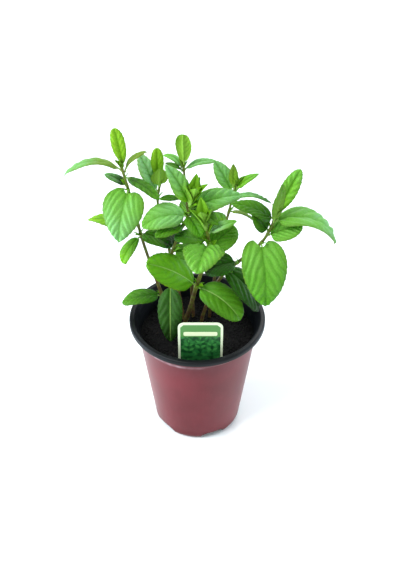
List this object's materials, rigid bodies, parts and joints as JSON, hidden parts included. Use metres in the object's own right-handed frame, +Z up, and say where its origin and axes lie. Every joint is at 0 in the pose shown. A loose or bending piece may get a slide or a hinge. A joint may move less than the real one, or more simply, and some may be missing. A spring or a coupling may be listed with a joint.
{
  "type": "potted mint plant",
  "caption": "Young leafy mint plant in a tapered nursery pot with a rolled rim, dark soil and a plastic plant label standing at the front.",
  "frame": {"origin": "centre of the pot's foot, on the surface that the pot stands on", "axes": "+Z up along the pot's axis; -Y towards the front, the side with the plant label; +X to the right as seen from the front"},
  "size_m": [0.2359, 0.1509, 0.3248],
  "materials": {
    "pot_plastic": "satin terracotta plastic outside, near-black rim and inside",
    "soil": "matt crumbly peat",
    "label_plastic": "smooth printed card of plastic",
    "leaf": "quilted, slightly waxy",
    "young_leaf": "soft and slightly waxy",
    "stem": "dull, finely hairy"
  },
  "bodies": {
    "root": {"pot": "pot_plastic", "soil": "soil", "plant_label": "label_plastic", "left_stem": "stem", "left_stem_leaf_1": "young_leaf", "left_stem_leaf_2": "leaf", "left_stem_leaf_3": "leaf", "left_stem_leaf_4": "leaf", "left_stem_leaf_5": "leaf", "left_stem_leaf_6": "leaf", "left_stem_leaf_7": "leaf", "left_stem_leaf_8": "leaf", "left_stem_leaf_9": "leaf", "left_stem_leaf_10": "leaf", "back_left_stem": "stem", "back_left_stem_leaf_1": "young_leaf", "back_left_stem_leaf_2": "leaf", "back_left_stem_leaf_3": "leaf", "back_left_stem_leaf_4": "leaf", "back_left_stem_leaf_5": "leaf", "back_stem": "stem", "back_stem_leaf_1": "young_leaf", "back_stem_leaf_2": "leaf", "back_stem_leaf_3": "leaf", "back_stem_leaf_4": "leaf", "back_stem_leaf_5": "leaf", "middle_stem": "stem", "middle_stem_leaf_1": "young_leaf", "middle_stem_leaf_2": "leaf", "middle_stem_leaf_3": "leaf", "middle_stem_leaf_4": "leaf", "middle_stem_leaf_5": "leaf", "middle_stem_leaf_6": "leaf", "middle_stem_leaf_7": "leaf", "middle_stem_leaf_8": "leaf", "middle_stem_leaf_9": "leaf", "back_right_stem": "stem", "back_right_stem_leaf_1": "young_leaf", "back_right_stem_leaf_2": "leaf", "back_right_stem_leaf_3": "leaf", "back_right_stem_leaf_4": "leaf", "back_right_stem_leaf_5": "leaf", "back_right_stem_leaf_6": "leaf", "right_stem": "stem", "right_stem_leaf_1": "young_leaf", "right_stem_leaf_2": "leaf", "right_stem_leaf_3": "leaf", "right_stem_leaf_4": "leaf", "right_stem_leaf_5": "leaf", "right_stem_leaf_6": "leaf", "right_stem_leaf_7": "leaf", "right_stem_leaf_8": "leaf", "right_stem_leaf_9": "leaf", "front_stem": "stem", "front_stem_leaf_1": "young_leaf", "front_stem_leaf_2": "leaf", "front_stem_leaf_3": "leaf", "front_stem_leaf_4": "leaf", "front_stem_leaf_5": "leaf", "front_stem_leaf_6": "leaf"}
  },
  "joints": []
}
